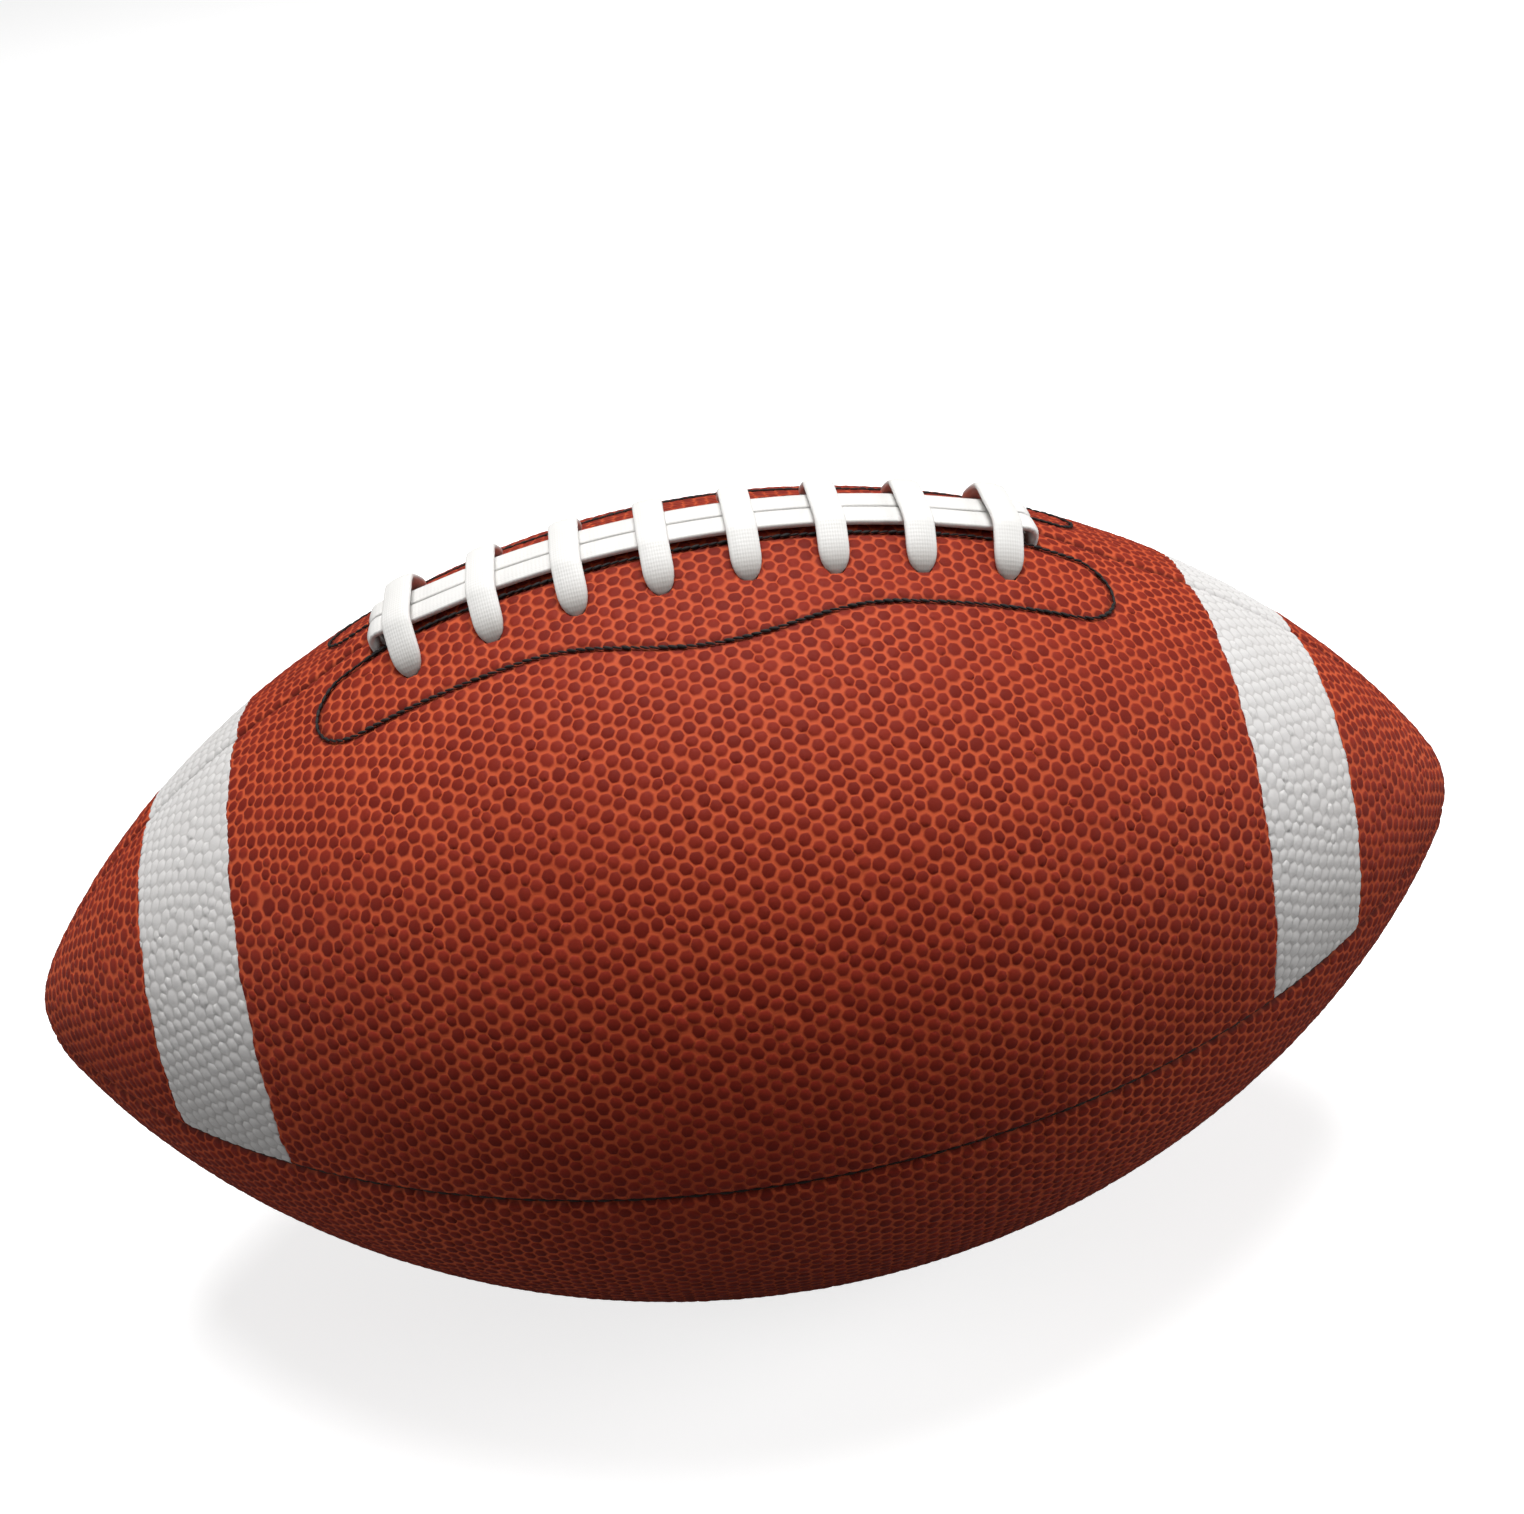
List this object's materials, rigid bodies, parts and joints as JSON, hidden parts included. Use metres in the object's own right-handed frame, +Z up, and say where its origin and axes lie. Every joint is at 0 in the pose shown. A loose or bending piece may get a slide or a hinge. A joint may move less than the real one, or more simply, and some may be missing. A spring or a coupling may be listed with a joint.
{
  "type": "american football",
  "caption": "Pointed leather ball of sewn panels round a bladder, with white stripes, a raised lace over a slit on top and a needle valve.",
  "frame": {"origin": "the point on the floor below the middle of the ball, where its belly rests", "axes": "+X from nose to nose, to the right as pictured; +Y away from the viewer; +Z up through the lace"},
  "size_m": [0.2838, 0.158, 0.1642],
  "materials": {
    "leather": "pebbled, satin, red-brown",
    "white_coat": "white coat over the pebbled grain",
    "lining_cloth": "woven, matt",
    "facing_leather": "rough side, matt",
    "black_thread": "twisted thread, matt",
    "seam_thread": "twisted thread, matt",
    "lace_white": "satin, finely ribbed",
    "tongue_felt": "felt, matt",
    "bladder_rubber": "smooth, matt",
    "valve_rubber": "smooth, matt",
    "core_rubber": "smooth, matt"
  },
  "bodies": {
    "root": {"panel_front_upper": "leather", "panel_back_upper": "leather", "panel_front_lower": "leather", "panel_back_lower": "leather", "lining_front_upper": "lining_cloth", "lining_back_upper": "lining_cloth", "lining_front_lower": "lining_cloth", "lining_back_lower": "lining_cloth", "stripe_front_left": "white_coat", "stripe_front_right": "white_coat", "stripe_back_left": "white_coat", "stripe_back_right": "white_coat", "lace_facing_front": "facing_leather", "lace_facing_back": "facing_leather", "facing_stitching_front": "black_thread", "facing_stitching_back": "black_thread", "seam_thread_front": "seam_thread", "seam_thread_back": "seam_thread", "seam_thread_bottom": "seam_thread", "seam_thread_top_left": "seam_thread", "seam_thread_top_right": "seam_thread", "lace": "lace_white", "lace_tongue": "tongue_felt", "bladder": "bladder_rubber", "valve_housing": "valve_rubber", "valve_core": "core_rubber"}
  },
  "joints": []
}
